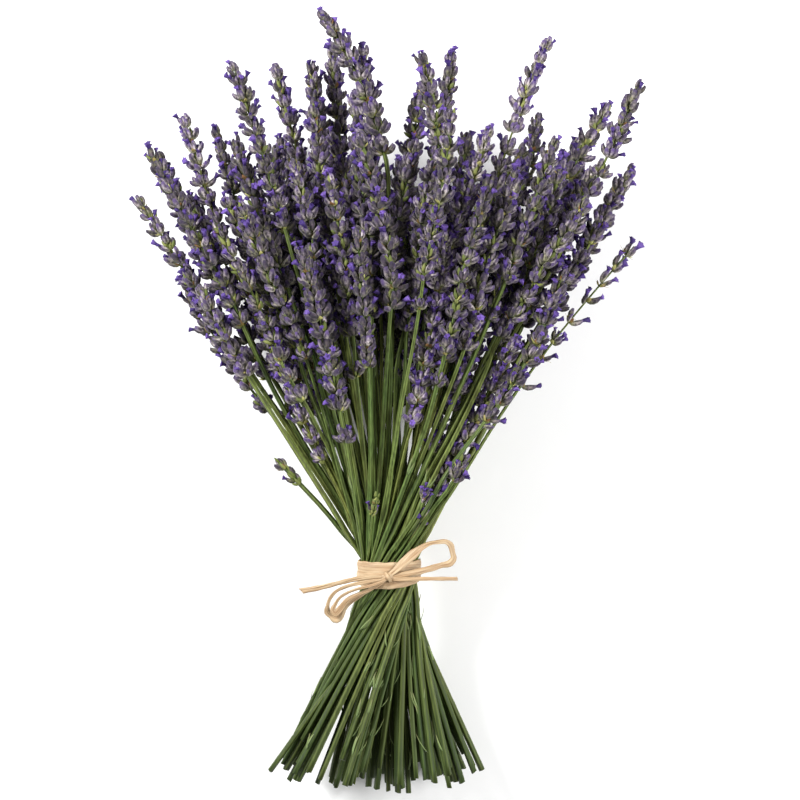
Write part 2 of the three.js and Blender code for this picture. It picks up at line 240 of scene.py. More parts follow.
def extend(sprig, y):
    """x and z of a sprig's line at heights y, carried on straight past its cut end and tip, in the
    direction of its last stretch there."""
    low_stretch, high_stretch = 12, 25
    inside = np.clip(y, sprig["cut"], sprig["tip"])
    line = follow(sprig["knots"], inside)
    ends = np.array([sprig["cut"], sprig["cut"] + low_stretch, sprig["tip"] - high_stretch, sprig["tip"]])
    at = follow(sprig["knots"], ends)
    rise = (y - inside)[:, None]
    low_slope = (at[1] - at[0]) / low_stretch
    high_slope = (at[3] - at[2]) / high_stretch
    return line + np.where(rise < 0, rise * low_slope, rise * high_slope)


def lay_together(sprigs, rounds=160):
    """Settles the sprigs' lines in cross-sections along the bunch. In each round sprigs that are too
    close push each other apart, and each line is drawn towards its straight and towards its first
    place. The frame's own sprigs hardly move, and none goes below the surface or out of the tie.
    Below the tie the sprigs laid between first spread by a share of their distance from its middle,
    further on the left than on the right."""
    section_step, half_tie = 8.0, 9
    spread_left, spread_right, spread_over = 0.26, 0.08, 110
    room, least_gap = 1.04, 0.1                 # kept between neighbours: in proportion, and in mm
    push_rate, straighten, pull_home = 0.5, 0.3, 0.5
    frame_give = 0.12                           # how easily the frame's own sprigs move
    y = np.arange(cad_low.y / MM, cad_high.y / MM + section_step, section_step)
    place = np.array([extend(s, y) for s in sprigs])
    across = place[..., 0] - TIE[0]
    below = np.clip((TIE[1] - y) / spread_over, 0, 1) * np.array([[s["node"] is None] for s in sprigs])
    place[..., 0] += across * below * np.where(across < 0, spread_left, spread_right)
    home = place.copy()
    base = np.array([s["base"] for s in sprigs])[:, None]
    tip = np.array([s["tip"] for s in sprigs])[:, None]
    there = y[None] < tip + 6
    radius = np.where(y[None] > base - 3, SPIKE_REACH, STEM_RADIUS) * there
    give = np.array([frame_give if s["node"] else 1.0 for s in sprigs])
    share = give[:, None] / (give[:, None] + give[None])
    hold = 0.03 + 0.4 * (1 - give)
    in_tie = np.abs(y - TIE[1]) < half_tie
    for _ in range(rounds):
        gap = place[:, None] - place[None]
        away = np.linalg.norm(gap, axis=-1) + 1e-6
        both = there[:, None] & there[None]
        need = (radius[:, None] + radius[None]) * room + least_gap
        short = np.clip(need - away, 0, None) * both
        push = (gap / away[..., None]) * (short * share[..., None])[..., None]
        place = place + push_rate * push.sum(1)
        bend = (place[:, :-2] + place[:, 2:]) / 2 - place[:, 1:-1]
        place[:, 1:-1] += straighten * give[:, None, None] * bend
        place += hold[:, None, None] * pull_home * (home - place)
        out = (place - TIE[[0, 2]]) / TIE_REACH
        far = np.maximum(1, np.linalg.norm(out, axis=-1))[..., None]
        place = np.where(in_tie[None, :, None], TIE[[0, 2]] + out / far * TIE_REACH, place)
        place[..., 1] = np.maximum(place[..., 1], radius * 0.8 + 0.2)
    for sprig, line in zip(sprigs, place):
        sprig["knots"] = np.column_stack([line[:, 0], y, line[:, 1]])


def axis_of(sprig, low, high, step):
    """Points of a sprig's line between two heights, with the frame (n, b, t) at each: t runs along
    the line, b is the part of the upward direction square to it, and n completes them."""
    y = np.linspace(low, high, max(3, int((high - low) / step)))
    line = follow(sprig["knots"], y)
    points = np.column_stack([line[:, 0], y, line[:, 1]])
    t = np.gradient(points, axis=0)
    t /= np.linalg.norm(t, axis=1)[:, None]
    b = UP - (t @ UP)[:, None] * t
    b /= np.linalg.norm(b, axis=1)[:, None]
    n = np.cross(b, t)
    return points, n, b, t


# ---- Small shapes ---------------------------------------------------------------------------
# Each is a closed tube along +Z with six or ten points around, given ring by ring.

def small_shape(rings, around, lobes=0.0, thin=1.0, curl=0.0):
    """rings lists (height, radius, lift): a ring of that radius at that height, whose points are
    moved sideways by lift. With lobes, every other point of a wide ring is that much nearer the
    middle. At the end x is made thinner, and curl times the height squared is added to it."""
    height, radius, lift = np.array(rings, float).T
    turn = 2 * math.pi * np.arange(around) / around
    wave = 1 - lobes * (np.arange(around) % 2)
    lobed = np.where(radius[:, None] > 1.2, wave, 1.0) if lobes else np.ones((len(rings), around))
    x = radius[:, None] * lobed * np.cos(turn) + lift[:, None]
    y = radius[:, None] * lobed * np.sin(turn)
    z = np.broadcast_to(height[:, None], x.shape)
    body = np.stack([x, y, z], -1).reshape(-1, 3)
    poles = np.array([[lift[0], 0, height[0]], [lift[-1], 0, height[-1]]])
    points = np.concatenate([body, poles])
    points[:, 0] = points[:, 0] * thin + curl * points[:, 2] ** 2
    along = np.concatenate([np.repeat(height / height.max(), around), [0, height[-1] / height.max()]])
    ridge = np.concatenate([np.tile(np.arange(around) % 2, len(rings)), [0.5, 0.5]]).astype(float)
    return SmallShape(points, tube_faces(len(rings), around), along, ridge)


# A calyx: a ribbed cup that swells, narrows a little at its mouth and bends up the spike.
CALYX = small_shape(
    [(0, 0.36, 0), (1.0, 0.94, -0.12), (2.7, 1.3, 0.0), (4.4, 1.16, 0.42), (5.6, 0.72, 1.08)], 6)
MOUTH_HEIGHT, MOUTH_LIFT = 4.5, 0.8     # where a flower stands in a calyx
# A bud that has not swelled.
BUD = small_shape([(0, 0.34, 0), (1.4, 0.86, 0.0), (3.0, 0.78, 0.25), (4.3, 0.24, 0.5)], 6)
# An open flower: a tube that flares to five lobes, and turns back into its throat.
FLOWER = small_shape(
    [(0, 0.6, 0), (1.9, 0.95, 0.15), (3.2, 1.6, 0.4), (3.9, 2.05, 0.8), (2.8, 0.6, 0.2)], 10, lobes=0.36)
# A withered one: the lobes are drawn together.
WITHERED = small_shape([(0, 0.55, 0), (2.3, 0.85, 0.1), (4.6, 1.5, 0.6), (3.6, 0.5, 0.4)], 10, lobes=0.4)
# A papery bract at the foot of a whorl, broad, thin and pointed.
BRACT = small_shape(
    [(0, 0.6, 0), (1.2, 1.3, 0.2), (2.6, 1.05, 0.5), (4.0, 0.2, 0.8)], 6, thin=0.18, curl=0.04)
# A narrow leaf that curls over.
LEAF = small_shape(
    [(0, 0.34, 0), (2.5, 0.58, 0.1), (6.5, 0.52, 0.9), (10.5, 0.12, 2.8)], 6, thin=0.3, curl=-0.035)
# A hair: the thread-like bractlet of a loose spike.
HAIR = small_shape([(0, 0.13, 0), (2.2, 0.1, 0.25), (4.6, 0.05, 0.8)], 6)


def aim(shape, where, heading, inward, size, roll):
    """Copies of a small shape. Each copy's +Z goes to its heading, its +X to the part of inward that
    is square to it, turned about the heading by roll; then it is sized and moved to where."""
    heading = heading / np.linalg.norm(heading, axis=1)[:, None]
    side = inward - (inward * heading).sum(1)[:, None] * heading
    side /= np.linalg.norm(side, axis=1)[:, None] + 1e-9
    third = np.cross(heading, side)
    turned = np.cos(roll)[:, None] * side + np.sin(roll)[:, None] * third
    third = np.cross(heading, turned)
    x, y, z = shape.points.T[:, None, :, None]
    copies = x * turned[:, None] + y * third[:, None]
    copies = copies + z * heading[:, None]
    return where[:, None] + copies * size[:, None, None]


# ---- Shader maths ---------------------------------------------------------------------------

class Value:
    """A number in a shader. Arithmetic on it adds Math nodes."""

    def __init__(self, finish, socket):
        self.finish, self.socket = finish, socket

    def _math(self, operation, *values):
        """A Math node on the values, in their order."""
        return self.finish.node("ShaderNodeMath", {"operation": operation}, dict(enumerate(values)))

    def __add__(self, other):
        return self._math("ADD", self, other)

    def __sub__(self, other):
        return self._math("SUBTRACT", self, other)

    def __rsub__(self, other):
        return self._math("SUBTRACT", other, self)

    def __mul__(self, other):
        return self._math("MULTIPLY", self, other)

    def __pow__(self, other):
        return self._math("POWER", self, other)

    __radd__, __rmul__ = __add__, __mul__


class Finish:
    """A material and the nodes that make it."""

    def __init__(self, name):
        self.material = bpy.data.materials.new(name)
        self.material.use_nodes = True
        self.tree = self.material.node_tree
        self.tree.nodes.clear()

    def node(self, kind, settings=None, inputs=None, output=0):
        """Adds a node of a kind, with its settings, then its sockets' values or links by name,
        identifier or number. Gives back one of its outputs."""
        made = self.tree.nodes.new(kind)
        for name, value in (settings or {}).items():
            setattr(made, name, value)
        for key, value in (inputs or {}).items():
            socket = self._socket(made, key)
            if isinstance(value, Value):
                self.tree.links.new(value.socket, socket)
            else:
                socket.default_value = value
        if not made.outputs:
            return None
        return Value(self, [s for s in made.outputs if s.enabled][output])

    @staticmethod
    def _socket(node, key):
        """An input of a node, by its number, or by the name or identifier of one that is in use."""
        if isinstance(key, int):
            return node.inputs[key]
        return next(s for s in node.inputs if s.enabled and key in (s.identifier, s.name))

    def mark(self, name):
        """The number that a piece's points carry under a name."""
        return self.node("ShaderNodeAttribute", {"attribute_name": name}, output=2)

    def mix(self, factor, a, b):
        """A colour between a and b, each a colour or a link."""
        ends = {key: colour if isinstance(colour, Value) else (*colour, 1) for key, colour in
                (("A_Color", a), ("B_Color", b))}
        return self.node("ShaderNodeMix", {"data_type": "RGBA"}, {"Factor_Float": factor, **ends})

    def noise(self, scale, detail=2.0, squeeze=(1, 1, 1)):
        """Noise from 0 to 1 at a scale given per millimetre, drawn out along an axis by squeeze."""
        place = self.node("ShaderNodeTexCoord", output=3)
        fit = tuple(scale / MM * s for s in squeeze)
        moved = self.node("ShaderNodeMapping", None, {"Vector": place, "Scale": fit})
        return self.node("ShaderNodeTexNoise", None, {"Vector": moved, "Scale": 1.0, "Detail": detail})

    def surface(self, colour, roughness, bump=None, strength=0.3, distance=0.2, **constants):
        """The one shader: colour, roughness and bump may vary, and the rest is the same all over."""
        inputs = {"Base Color": colour, "Roughness": roughness}
        if bump is not None:
            inputs["Normal"] = self.node(
                "ShaderNodeBump", None, {"Height": bump, "Strength": strength, "Distance": distance * MM})
        inputs.update({name.replace("_", " "): value for name, value in constants.items()})
        shader = self.node("ShaderNodeBsdfPrincipled", None, inputs)
        self.node("ShaderNodeOutputMaterial", None, {"Surface": shader})
        return self.material


def rgb(red, green, blue):
    """A colour given as 0 to 255 on a screen, in the linear form that shaders take."""
    values = np.array([red, green, blue]) / 255
    return tuple(np.where(values < 0.04045, values / 12.92, ((values + 0.055) / 1.055) ** 2.4))


# ---- Finishes -------------------------------------------------------------------------------

def stem_finish():
    """Green, paler on the ribs, bluer on some stems and yellower on others, faintly streaked, and
    darkened below the tie towards the cut end as painted shade."""
    f = Finish("lavender_stem")
    ridge, tint, along = f.mark("ridge"), f.mark("tint"), f.mark("along")
    streak = f.noise(0.9, 3.0, (1, 0.07, 1))
    patch = f.noise(0.04, 2.0)
    deep = f.mix(tint, rgb(30, 50, 14), rgb(52, 60, 12))
    pale = f.mix(tint, rgb(112, 142, 72), rgb(168, 178, 92))
    body = f.mix((ridge * 0.62 + streak * 1.0 - 0.38) ** 1.3, deep, pale)
    aged = f.mix(patch * 0.6 - 0.2, body, rgb(112, 100, 44))
    # painted shade: below the tie the stems are darkened, fully at the cut end and fading out further up
    painted_shade_below_tie = f.mix(0.68, aged, rgb(30, 48, 12))
    colour = f.mix(along ** 1.6, painted_shade_below_tie, aged)
    return f.surface(
        colour, 0.46 + streak * 0.3, bump=streak + ridge, strength=0.4, Specular_IOR_Level=0.32)


def leaf_finish():
    """Grey-green, paler along the margins and the middle, brown at the tip."""
    f = Finish("lavender_leaf")
    ridge, tint, along = f.mark("ridge"), f.mark("tint"), f.mark("along")
    felt = f.noise(1.2, 3.0)
    blade = f.mix(tint, rgb(60, 88, 30), rgb(104, 126, 66))
    felted = f.mix(ridge * 0.6 + felt * 0.5 - 0.2, blade, rgb(152, 168, 116))
    colour = f.mix(along ** 3 * 0.7, felted, rgb(120, 104, 66))
    return f.surface(colour, 0.6 + felt * 0.2, bump=felt, strength=0.3)


def calyx_finish():
    """Woolly lavender-grey with pale ribs, mottled with green, green-grey at the foot and violet at
    the mouth. Some are paler all over and some darker. Besides their own paler and darker tones, the
    ribs are lightened nearly to white as painted highlight and the grooves darkened nearly to black as
    painted shade."""
    f = Finish("lavender_calyx")
    ridge, tint, along = f.mark("ridge"), f.mark("tint"), f.mark("along")
    wool = f.noise(0.8, 4.0)
    fleck = f.noise(0.26, 3.0)
    foot = f.mix(tint, rgb(92, 98, 50), rgb(176, 178, 124))
    # painted highlight and shade: ribs near white and grooves near black, over the calyx's own paler ribs and
    # darker grooves; the green mottle is darkened in the grooves the same way
    ribs = f.mix(tint, rgb(106, 90, 100), rgb(234, 222, 220))
    groove_tone_and_shade = f.mix(tint, rgb(14, 7, 15), rgb(56, 42, 58))
    middle = f.mix(ridge * 0.9 + wool * 2.6 - 1.45, groove_tone_and_shade, ribs)
    green = f.mix(ridge * 0.7 + wool * 2.2 - 1.15, rgb(38, 36, 18), rgb(158, 156, 112))
    toned = f.mix(fleck * 4.4 - 2.05, middle, green)
    mouth = f.mix(tint, rgb(34, 18, 50), rgb(84, 62, 116))
    lower = f.mix((along * 2.4) ** 1.3, foot, toned)
    colour = f.mix(along ** 3 * 1.2 + wool * 0.5 - 0.4, lower, mouth)
    return f.surface(
        colour, 0.66 + wool * 0.3, bump=wool + ridge, strength=0.8, Sheen_Weight=0.15, Sheen_Roughness=0.6)


def flower_finish():
    """Violet, bluer on some flowers, deep in the throat and faded at the lobes' edges."""
    f = Finish("lavender_flower")
    along, tint = f.mark("along"), f.mark("tint")
    vein = f.noise(1.3, 3.0)
    petal = f.mix(tint, rgb(54, 26, 108), rgb(130, 98, 192))
    colour = f.mix(along * 0.9 + vein * 1.6 - 0.9, rgb(36, 18, 76), petal)
    return f.surface(colour, 0.6 + vein * 0.2, bump=vein, strength=0.4)


def bract_finish():
    """Papery: greenish at the foot, some cream, some tan, a few russet."""
    f = Finish("lavender_bract")
    along, tint = f.mark("along"), f.mark("tint")
    vein = f.noise(1.2, 3.0)
    dry = f.mix((tint * 1.6 - 0.4) ** 1.3, rgb(120, 84, 48), rgb(186, 186, 112))
    colour = f.mix(along * 1.4 + vein * 0.3, rgb(138, 148, 62), dry)
    return f.surface(colour, 0.7 + vein * 0.2, bump=vein, strength=0.4)


def bud_finish():
    """Young calyces and small leaves, yellow-green."""
    f = Finish("lavender_green")
    along, tint = f.mark("along"), f.mark("tint")
    wool = f.noise(1.4, 2.0)
    young = f.mix(tint, rgb(104, 116, 44), rgb(168, 172, 96))
    colour = f.mix(along * 0.6 + wool * 0.5 - 0.2, young, rgb(70, 80, 44))
    return f.surface(colour, 0.7 + wool * 0.2, bump=wool, strength=0.3)


def raffia_finish():
    """Pale straw with long fibres, and warm brown lines between some of them, partly the raffia's own
    darker fibres and partly painted shadow lines. Along a strip the mark along is in centimetres, and
    across it ridge is in millimetres."""
    f = Finish("raffia")
    ridge, along, tint = f.mark("ridge"), f.mark("along"), f.mark("tint")
    place = f.node("ShaderNodeCombineXYZ", None, {0: along * 0.5, 1: ridge * 3.2, 2: tint * 9.0})
    fibre = f.node("ShaderNodeTexNoise", None, {"Vector": place, "Scale": 1.0, "Detail": 4.0})
    broad = f.node("ShaderNodeCombineXYZ", None, {0: along * 0.7, 1: ridge * 0.9, 2: tint * 5.0})
    shade = f.node("ShaderNodeTexNoise", None, {"Vector": broad, "Scale": 1.0, "Detail": 2.0})
    straw = f.mix(shade * 1.8 - 0.5, rgb(166, 134, 98), rgb(204, 184, 150))
    # partly painted shadow: the brown lines are darker fibres, darkened further to stand for the shadow lines
    # between strips and folds
    line = f.node("ShaderNodeMapRange", None, {
        "Value": fibre, "From Min": 0.35, "From Max": 0.49, "To Min": 0.85, "To Max": 0.0})
    colour = f.mix(line, straw, rgb(120, 80, 42))
    return f.surface(colour, 0.42 + fibre * 0.3, bump=fibre + shade * 0.6, strength=0.6, distance=0.2)


# The places of these finishes in a sprig's list of materials.
STEM_SLOT, CALYX_SLOT, FLOWER_SLOT, BRACT_SLOT, GREEN_SLOT, LEAF_SLOT = range(6)


# ---- A sprig --------------------------------------------------------------------------------

STEM_SHADE_LENGTH = 130.0         # length over which painted shade darkens a stem towards its cut end


def add_stem(part, sprig, rng):
    """A squared tube along the line. Its section has eight points, every other one a little further
    out, and its radius falls to 0.42 of the stem's inside the spike. Its cut end is skewed."""
    inside_tip, step, around = 3, 7, 8
    points, n, b, t = axis_of(sprig, sprig["cut"], sprig["tip"] - inside_tip, step)
    y = points[:, 1]
    taper = np.interp(y, [sprig["cut"], TIE[1], sprig["base"], sprig["base"] + 30], [1.06, 1.0, 0.74, 0.42])
    radius = sprig["thick"] * taper
    turn = 2 * math.pi * (np.arange(around) / around) + rng.uniform(0, 6)
    corner = (np.arange(around) % 2).astype(float)
    reach = (radius[:, None] * (0.84 + 0.26 * corner))[..., None]
    ring = reach * (np.cos(turn)[None, :, None] * n[:, None] + np.sin(turn)[None, :, None] * b[:, None])
    skew = rng.uniform(-0.5, 0.5, 2)
    ring[0] += t[0] * (skew[0] * np.cos(turn) + skew[1] * np.sin(turn))[:, None]
    body = (points[:, None] + ring).reshape(-1, 3)
    all_points = np.concatenate([body, points[:1], points[-1:]])
    # along rises from 0 at the cut end, and the stem finish paints shade where it is low
    along = np.concatenate([np.repeat(np.clip((y - y[0]) / STEM_SHADE_LENGTH, 0, 1), around), [0, 1]])
    ridge = np.concatenate([np.tile(corner, len(y)), [1, 1]])
    part.add(all_points[None], tube_faces(len(y), around), STEM_SLOT, along, ridge, sprig["tint"])


LOOSE_DOWN = np.array([0, 11, 21, 32.5, 47, 62, 74, 93]) * 0.71  # the loose spike's whorls, from its top one
TOP_WHORL, LOOSE_TOP_WHORL = 7.0, 8    # how far below the tip the top one is


def whorl_places(sprig, rng):
    """Heights of the whorls from the tip down, and their sizes. They are close together at the tip
    and further apart lower down, and on some sprigs one more sits on its own below the rest."""
    length = sprig["tip"] - sprig["base"]
    if sprig["loose"]:
        return sprig["tip"] - LOOSE_TOP_WHORL - LOOSE_DOWN, np.full(len(LOOSE_DOWN), 1.0) * CALYX_SCALE
    step = np.interp(np.arange(30), [0, 1, 5], [4.4, 6.2, 9.6]) * rng.uniform(0.9, 1.06)
    down = np.cumsum(step) - step[0]
    down = down[down < length - 5]
    places = sprig["tip"] - TOP_WHORL - down + rng.normal(0, 0.35, len(down))
    size = np.interp(np.arange(len(down)), [0, 1, 3], [0.84, 0.95, 1.03])
    size = size * rng.uniform(0.93, 1.07, len(down))
    if length > 40 and rng.random() < 0.45:
        places = np.append(places, places[-1] - rng.uniform(14, 21))
        size = np.append(size, 0.82)
    return places, size * sprig["size"] * CALYX_SCALE


def whorl_rows(sprig, places, sizes, rng):
    """One row for each calyx: its height, its turn about the line, its lean, its size, 1 if it is in
    the inner ring, and 1 if its whorl is one of the top two. Lower whorls hold more and lean out
    more, and the inner ring leans half as far and sits higher."""
    inner_lean, inner_rise = 0.46, 1.9
    counts = (3.4, 0.4) if sprig["loose"] else (8.8, 5.6)
    rows = []
    for index, (y, size) in enumerate(zip(places, sizes)):
        full = min(1.0, 0.62 + 0.13 * index)
        open_out = math.radians(33 + 27 * min(1, index / 3)) * sprig["openness"]
        start = rng.uniform(0, 6.28)
        rings = zip(counts, (open_out, open_out * inner_lean), (0.0, inner_rise))
        for ring, (count, lean, rise) in enumerate(rings):
            amount = int(round(count * full * rng.uniform(0.88, 1.15)))
            turn = start + ring + 2 * math.pi * np.arange(amount) / max(amount, 1)
            rows.append(np.column_stack([
                y + rise + rng.normal(0, 0.6, amount), turn + rng.normal(0, 0.26, amount),
                lean * rng.uniform(0.6, 1.34, amount), size * rng.uniform(0.78, 1.16, amount),
                np.full(amount, ring), np.full(amount, 1.0 if index < 2 else 0.0)]))
    return np.concatenate(rows).T


def add_spike(part, sprig, rng):
    """Whorl by whorl: calyces in an outer and an inner ring that lean out and bend up, flowers at
    the mouths of some, young buds between them and bracts below."""
    foot_reach = 0.7                            # from the line to a calyx's foot
    young_inside, more_at_top, spent_share = 0.12, 1.3, 0.12
    places, sizes = whorl_places(sprig, rng)
    points, n, b, t = axis_of(sprig, sprig["base"] - 30, sprig["tip"], 1.5)
    height = points[:, 1]

    def at(y):
        """The line's points and frames at heights y."""
        i = np.clip(np.searchsorted(height, y), 0, len(height) - 1)
        return points[i], n[i], b[i], t[i]

    y, turn, lean, size, ring, topmost = whorl_rows(sprig, places, sizes, rng)
    centre, n_at, b_at, up = at(y)
    out = np.cos(turn)[:, None] * n_at + np.sin(turn)[:, None] * b_at
    heading = np.cos(lean)[:, None] * up + np.sin(lean)[:, None] * out
    where = centre + out * foot_reach
    tint = np.clip(sprig["tint"] + rng.normal(0, 0.34, len(y)), 0, 1)
    young = rng.random(len(y)) < sprig["young"] + young_inside * (ring == 1)
    roll = rng.normal(0, 0.25, len(y))
    for shape, chosen, finish in ((CALYX, ~young, CALYX_SLOT), (BUD, young, GREEN_SLOT)):
        part.scatter(shape, finish, tint[chosen], where=where[chosen], heading=heading[chosen],
                     inward=up[chosen], size=size[chosen], roll=roll[chosen])
    mouth = where + heading * (MOUTH_HEIGHT * size)[:, None]
    mouth = mouth + side_step(heading, up) * (MOUTH_LIFT * size)[:, None]
    chance = rng.random(len(y))
    blooming = ~young & (chance < sprig["bloom"] * (1 + more_at_top * topmost))
    spent = ~young & ~blooming & (chance < sprig["bloom"] + spent_share)
    bloom_lean = heading + 0.42 * up + rng.normal(0, 0.16, heading.shape)
    for shape, chosen, fade in ((FLOWER, blooming, 0), (WITHERED, spent, 0.45)):
        grow = rng.uniform(0.62, 1.0, chosen.sum()) * np.clip(size[chosen], 0.8, 1.2)
        spin = rng.uniform(0, 6.28, chosen.sum())
        shade = np.clip(rng.uniform(0, 1, chosen.sum()) - fade, 0, 1)
        part.scatter(shape, FLOWER_SLOT, shade, where=mouth[chosen], heading=bloom_lean[chosen],
                     inward=up[chosen], size=grow, roll=spin)
    add_bracts(part, places, sizes, at, sprig, rng)


def side_step(heading, up):
    """The direction square to heading that is nearest to up."""
    side = up - (up * heading).sum(1)[:, None] * heading
    return side / (np.linalg.norm(side, axis=1)[:, None] + 1e-9)


def add_bracts(part, places, sizes, at, sprig, rng):
    """Three papery bracts cup the foot of each whorl, and a loose spike has hairs there as well."""
    y = np.repeat(places - 0.6, 3)
    size = np.repeat(sizes, 3) * rng.uniform(0.55, 1.0, len(y))
    turn = np.tile(np.arange(3) * math.pi * 2 / 3, len(places)) + rng.normal(0, 0.6, len(y))
    lean = np.radians(rng.uniform(30, 72, len(y)))
    centre, n_at, b_at, t_at = at(y)
    out = np.cos(turn)[:, None] * n_at + np.sin(turn)[:, None] * b_at
    heading = np.cos(lean)[:, None] * t_at + np.sin(lean)[:, None] * out
    part.scatter(BRACT, BRACT_SLOT, rng.uniform(0, 1, len(y)), where=centre + out * 0.6, heading=heading,
                 inward=t_at, size=size * 1.05, roll=np.zeros(len(y)))
    if sprig["loose"]:
        part.scatter(HAIR, BRACT_SLOT, np.full(len(y), 0.6), where=centre, heading=heading,
                     inward=-t_at, size=size * 1.3, roll=rng.normal(0, 0.5, len(y)))


def add_leaves(part, sprig, rng):
    """Narrow leaves, one to four at a joint of the stem, most of the joints below the tie. They lean
    out from the stem and curl over."""
    upper_joint_share = 0.16
    spots = list(rng.uniform(sprig["cut"] + 8, TIE[1] - 22, rng.choice([0, 1, 2, 4])))
    if rng.random() < upper_joint_share:
        spots.append(rng.uniform(TIE[1] + 40, max(TIE[1] + 44, sprig["base"] - 26)))
    points, n, b, t = axis_of(sprig, sprig["cut"], sprig["tip"], 3)
    for spot in spots:
        i = min(np.searchsorted(points[:, 1], spot), len(points) - 1)
        turn = rng.uniform(0, math.pi) + np.array([0, math.pi, 0.5, 3.6])[:rng.integers(1, 5)]
        out = np.cos(turn)[:, None] * n[i] + np.sin(turn)[:, None] * b[i]
        lean = np.radians(rng.uniform(10, 42, len(turn)))[:, None]
        heading = np.cos(lean) * t[i] + np.sin(lean) * out
        where = np.repeat(points[i][None], len(turn), 0) + out * sprig["thick"] * 0.8
        size = rng.uniform(0.45, 1.25, len(turn))
        shade = rng.uniform(0.2, 1, len(turn))
        part.scatter(LEAF, LEAF_SLOT, shade, where=where, heading=heading, inward=out, size=size,
                     roll=rng.normal(0, 0.3, len(turn)))


def make_sprig(number, sprig, rng, materials):
    """One sprig in one piece. It replaces its solid of the frame, if it has one."""
    part = Part()
    add_stem(part, sprig, rng)
    add_spike(part, sprig, rng)
    add_leaves(part, sprig, rng)
    piece = part.make(f"lavender_sprig_{number:03d}", materials)
    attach(piece, "root")
    if sprig["node"]:
        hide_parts(sprig["node"])


# ---- Raffia ---------------------------------------------------------------------------------
# Routes are in mm from the middle of the tie at the top of the band. After each point's x, y and z
# come the strip's width there and how far it is turned from lying flat, in degrees.

LOOP_RIGHT = [
    (-0.8, 2.4, 1.7, 1.8, 0), (1.4, 4.2, 1.5, 2.6, 6), (4.4, 6.6, 1.3, 3.8, 10),
    (8.4, 10.4, 2.0, 4.9, 12), (12.8, 14.3, 2.2, 4.8, 16), (16.8, 17.4, 2.0, 3.4, 30),
    (20.4, 19.2, 1.4, 2.5, 34), (25.2, 20.0, 0.3, 2.3, 24), (29.2, 20.0, -1.0, 2.6, 10),
    (31.2, 18.6, -1.8, 3.2, 6), (32.4, 14.6, -2.8, 2.7, 12), (32.9, 11.2, -3.2, 3.4, 4),
    (31.4, 9.2, -3.2, 3.4, 0), (27.0, 8.0, -2.8, 3.1, 4), (20.5, 6.2, -1.2, 3.2, 0),
    (13.5, 4.6, 0.6, 3.2, 0), (9.0, 3.7, 1.0, 2.9, 0), (5.2, 3.0, 0.9, 2.5, 0), (1.0, 2.2, 1.1, 2.0, 0)]
TAIL_RIGHT = [
    (-0.6, 1.4, 1.1, 1.8, 0), (2.4, 1.0, 1.1, 2.0, 0), (5.0, 0.9, 0.9, 2.2, 0), (11.0, 1.0, 0.9, 2.1, 0),
    (17.0, 1.2, 0.2, 2.0, 8), (23.0, 1.2, -1.0, 2.0, 14), (29.0, 1.1, -2.6, 2.0, 10),
    (35.0, 1.0, -4.6, 1.9, 0)]
TAIL_LEFT = [
    (-1.4, 2.4, 1.4, 2.0, 0), (-4.0, 2.7, 1.2, 2.3, 0), (-6.6, 2.6, 0.8, 2.6, 0), (-14.0, 1.6, 0.8, 2.6, 4),
    (-21.0, 0.2, 0.0, 2.4, 16), (-28.0, -1.6, -1.4, 2.4, 12), (-36.0, -3.6, -3.4, 2.7, 4),
    (-45.0, -5.4, -6.0, 3.0, 0)]
LOOP_LEFT = [
    (-1.6, 1.2, 1.6, 1.8, 0), (-4.0, 0.6, 1.6, 1.9, 0), (-6.4, 0.3, 1.5, 2.0, 0), (-12.0, -0.4, 1.7, 2.0, 0),
    (-18.0, -1.6, 1.2, 1.9, 10), (-23.0, -3.2, -0.2, 1.8, 18), (-27.4, -5.6, -2.0, 1.8, 18),
    (-30.4, -9.4, -3.8, 1.8, 10), (-31.5, -13.2, -5.1, 2.0, 4), (-31.5, -16.2, -6.1, 3.4, 0),
    (-29.6, -18.0, -6.5, 3.4, 0), (-27.2, -19.6, -6.9, 4.6, 0), (-25.7, -18.6, -6.8, 4.4, 0),
    (-22.8, -13.8, -5.2, 2.8, 0), (-16.4, -8.6, -2.4, 2.1, 6), (-10.0, -4.4, 0.2, 1.9, 0),
    (-5.0, -1.2, 0.6, 1.9, 0), (-1.8, 1.0, 0.9, 1.7, 0)]
LOOP_INNER = [
    (-1.6, 1.0, 2.2, 1.3, 0), (-3.4, 0.0, 2.8, 1.4, 0), (-5.6, -0.8, 3.1, 1.5, 0), (-10.4, -2.4, 3.2, 1.5, 0),
    (-16.0, -3.8, 2.4, 1.5, 12), (-21.4, -6.0, 0.6, 1.5, 18), (-25.4, -8.8, -1.6, 1.6, 10),
    (-27.6, -12.2, -3.4, 1.8, 0), (-28.8, -15.2, -4.0, 2.8, 0), (-27.6, -16.8, -4.2, 3.4, 0),
    (-25.6, -15.0, -3.8, 3.2, 0), (-21.6, -9.8, -1.6, 2.2, 0), (-14.6, -6.0, 0.8, 1.8, 6),
    (-8.6, -3.6, 2.0, 1.6, 0), (-4.6, -1.4, 2.4, 1.5, 0), (-1.8, 0.8, 2.0, 1.3, 0)]
BOW = [  # name, route, usual width, what its far end is, slant of the far end
    ("raffia_loop_right", LOOP_RIGHT, 3.6, "object", 0.0),
    ("raffia_tail_right", TAIL_RIGHT, 2.2, "bare", 0.2),
    ("raffia_tail_left", TAIL_LEFT, 2.8, "bare", 1.1),
    ("raffia_loop_left", LOOP_LEFT, 2.6, "object", 0.0),
    ("raffia_loop_inner", LOOP_INNER, 1.9, "object", 0.0)]
